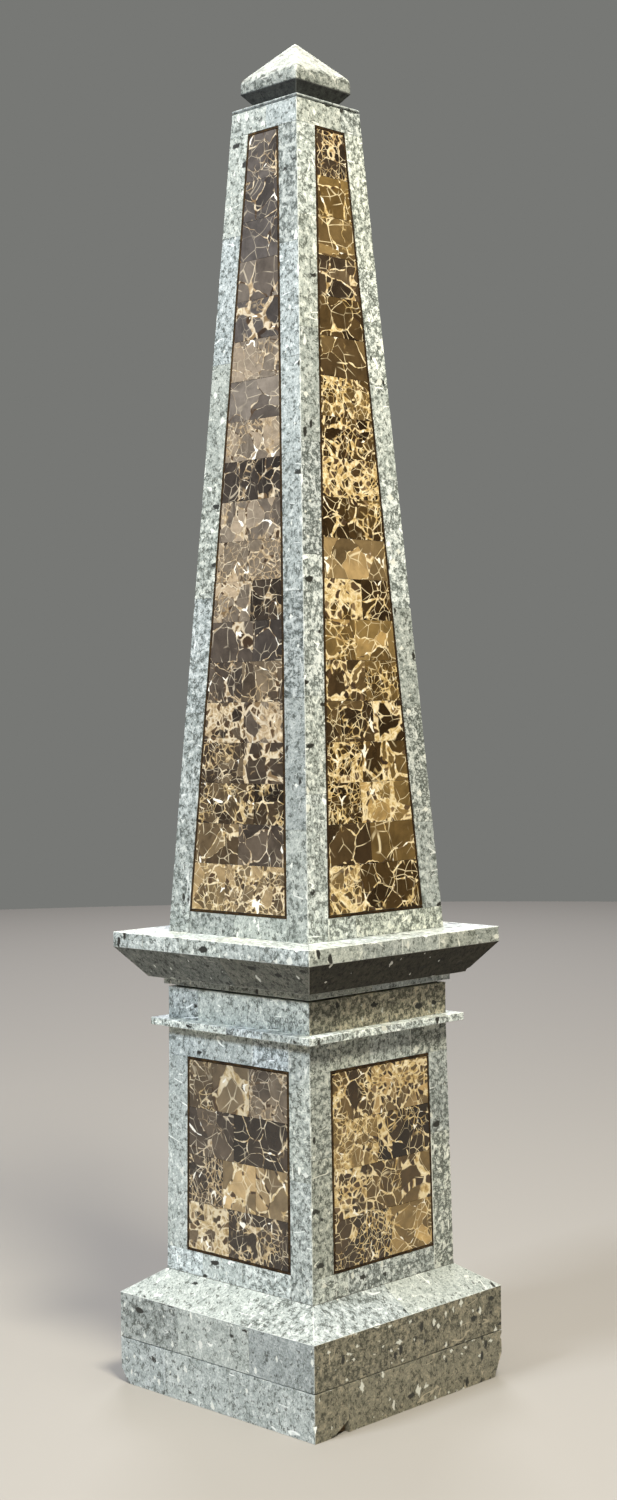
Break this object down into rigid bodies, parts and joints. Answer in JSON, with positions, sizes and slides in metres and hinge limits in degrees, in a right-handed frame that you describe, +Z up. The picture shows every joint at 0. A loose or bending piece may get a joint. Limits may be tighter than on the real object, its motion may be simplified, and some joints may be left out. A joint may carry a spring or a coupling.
{
  "type": "decorative table obelisk",
  "caption": "Tall tapered table ornament on a square pedestal, faced with grey stone, with brown marble panels edged in thin brass and a small pyramid cap.",
  "frame": {"origin": "centre of the square foot, on the surface it stands on", "axes": "+Z up the shaft to the tip, -Y out of the front face, +X out of the right face"},
  "size_m": [0.1876, 0.1876, 0.915],
  "materials": {
    "grey_stone": "matte",
    "brown_marble": "satin",
    "brass": "tarnished",
    "carcass": "raw"
  },
  "bodies": {
    "root": {"plinth_lower_front": "grey_stone", "plinth_lower_right": "grey_stone", "plinth_lower_back": "grey_stone", "plinth_lower_left": "grey_stone", "plinth_upper_front": "grey_stone", "plinth_upper_right": "grey_stone", "plinth_upper_back": "grey_stone", "plinth_upper_left": "grey_stone", "plinth_slope_front": "grey_stone", "plinth_slope_right": "grey_stone", "plinth_slope_back": "grey_stone", "plinth_slope_left": "grey_stone", "pedestal_frame_front": "grey_stone", "pedestal_frame_right": "grey_stone", "pedestal_frame_back": "grey_stone", "pedestal_frame_left": "grey_stone", "ledge": "grey_stone", "frieze": "grey_stone", "fillet": "grey_stone", "cornice_soffit": "grey_stone", "cornice_slab": "grey_stone", "shaft_frame_front": "grey_stone", "shaft_frame_right": "grey_stone", "shaft_frame_back": "grey_stone", "shaft_frame_left": "grey_stone", "shaft_top_plate": "grey_stone", "cap_foot": "grey_stone", "cap_pyramid": "grey_stone", "pedestal_inlay_front": "brown_marble", "pedestal_inlay_right": "brown_marble", "pedestal_inlay_back": "brown_marble", "pedestal_inlay_left": "brown_marble", "shaft_inlay_front": "brown_marble", "shaft_inlay_right": "brown_marble", "shaft_inlay_back": "brown_marble", "shaft_inlay_left": "brown_marble", "pedestal_brass_lines": "brass", "shaft_brass_lines": "brass", "base_board": "carcass", "plinth_box": "carcass", "pedestal_box": "carcass", "cornice_block": "carcass", "shaft_box": "carcass"}
  },
  "joints": []
}
